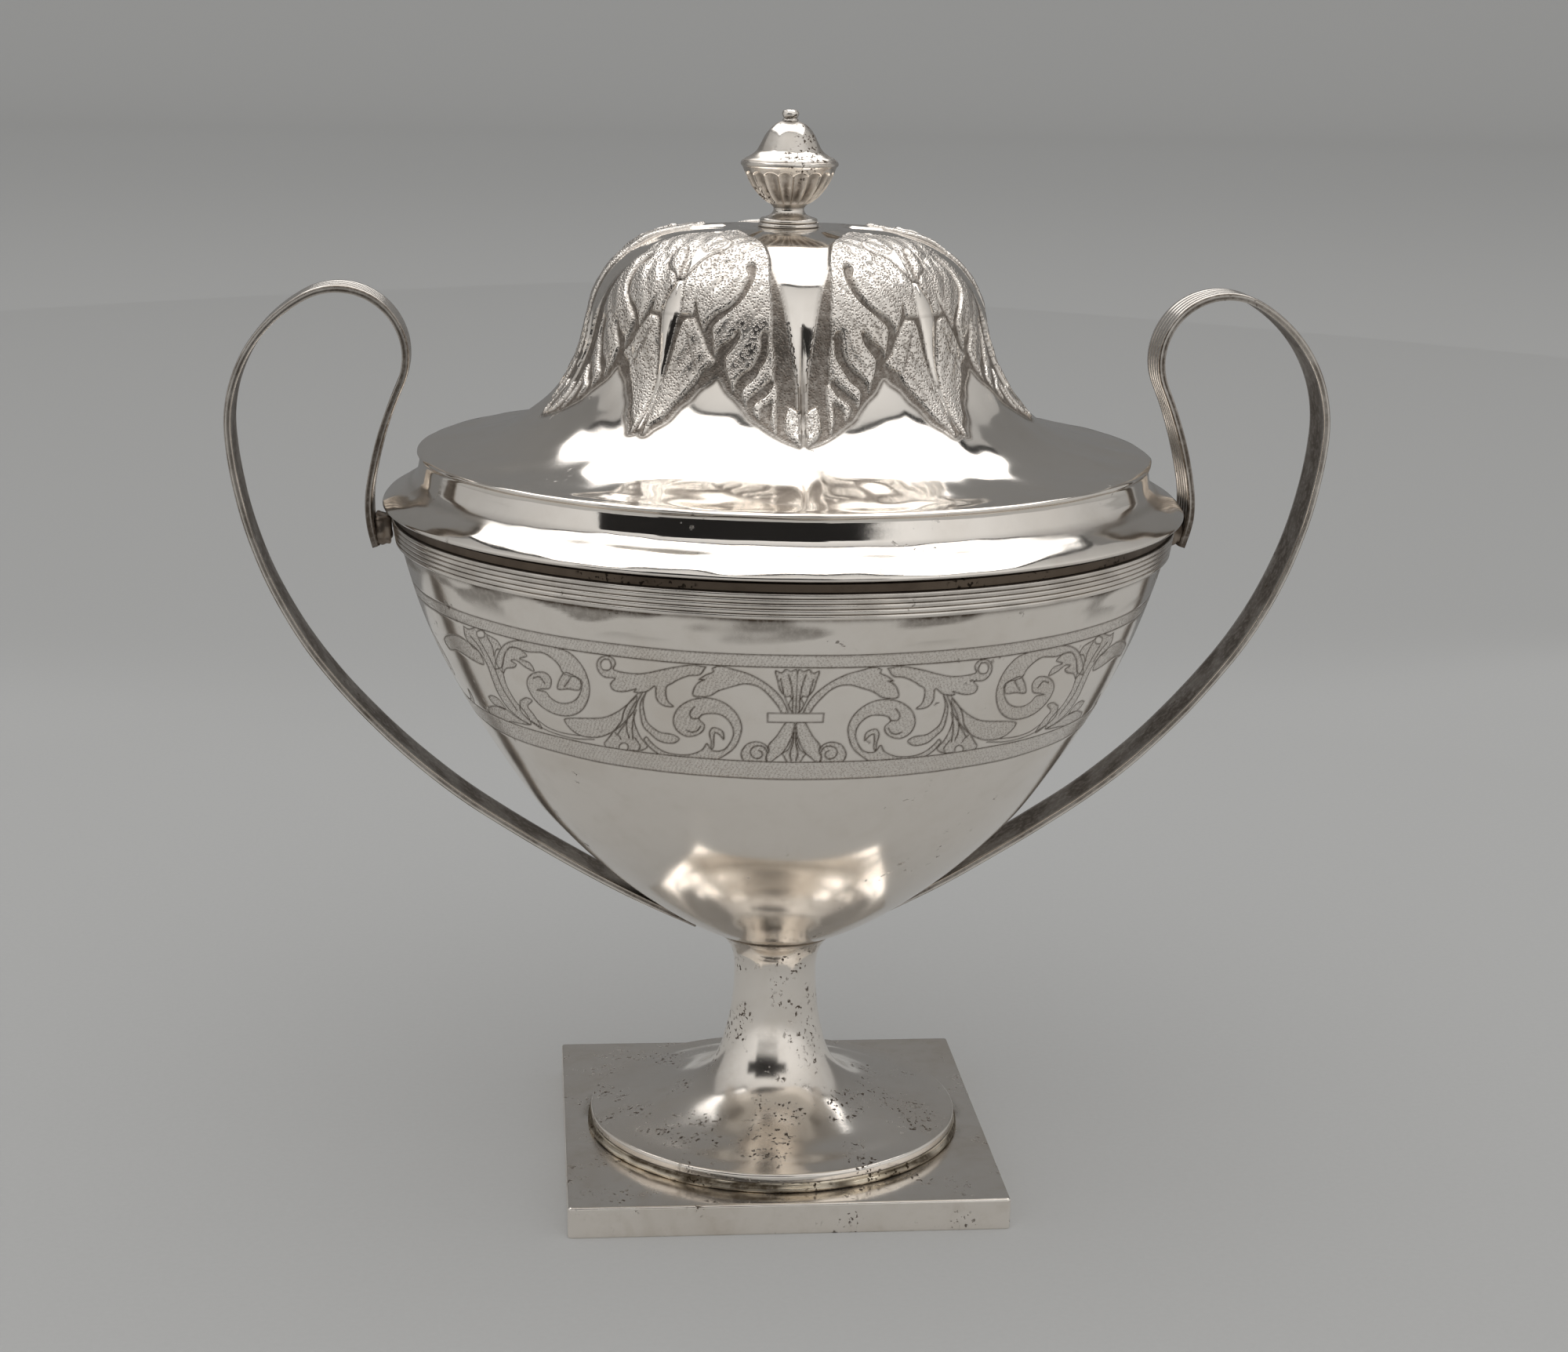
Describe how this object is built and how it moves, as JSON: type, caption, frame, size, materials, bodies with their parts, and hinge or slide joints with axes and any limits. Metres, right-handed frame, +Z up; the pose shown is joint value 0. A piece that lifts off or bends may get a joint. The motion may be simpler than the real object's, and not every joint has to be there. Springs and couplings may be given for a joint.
{
  "type": "covered sugar bowl",
  "caption": "Covered silver sugar bowl: deep round bowl with engraved band and reeded rim on a trumpet foot and square plinth, two strap handles, domed leaf-chased lid with fluted urn finial.",
  "frame": {"origin": "centre of the plinth's underside, on the axis of the bowl", "axes": "+Z up along the axis of bowl, stem and lid; +X to the right through both handles; +Y to the back"},
  "size_m": [0.2006, 0.1452, 0.1969],
  "materials": {
    "silver": "polished silver with light tarnish",
    "dark_silver": "tarnished silver and solder"
  },
  "bodies": {
    "bowl_body": {"plinth_plate": "silver", "plinth_sides": "silver", "foot_ring": "dark_silver", "foot": "silver", "bowl": "silver", "rim_moulding": "silver", "handle_left": "silver", "handle_right": "silver", "lug_left": "dark_silver", "lug_right": "dark_silver"},
    "lid_body": {"lid": "silver", "lid_bezel": "silver", "finial_base": "silver", "finial_cup": "silver", "finial_cap": "silver", "finial_rod": "silver", "finial_washer": "dark_silver", "finial_nut": "dark_silver"}
  },
  "joints": [
    {"name": "lid_lift", "type": "slide", "parent": "bowl_body", "child": "lid_body", "axis": [0, 0, 1], "range_m": [0, 0.005]}
  ]
}
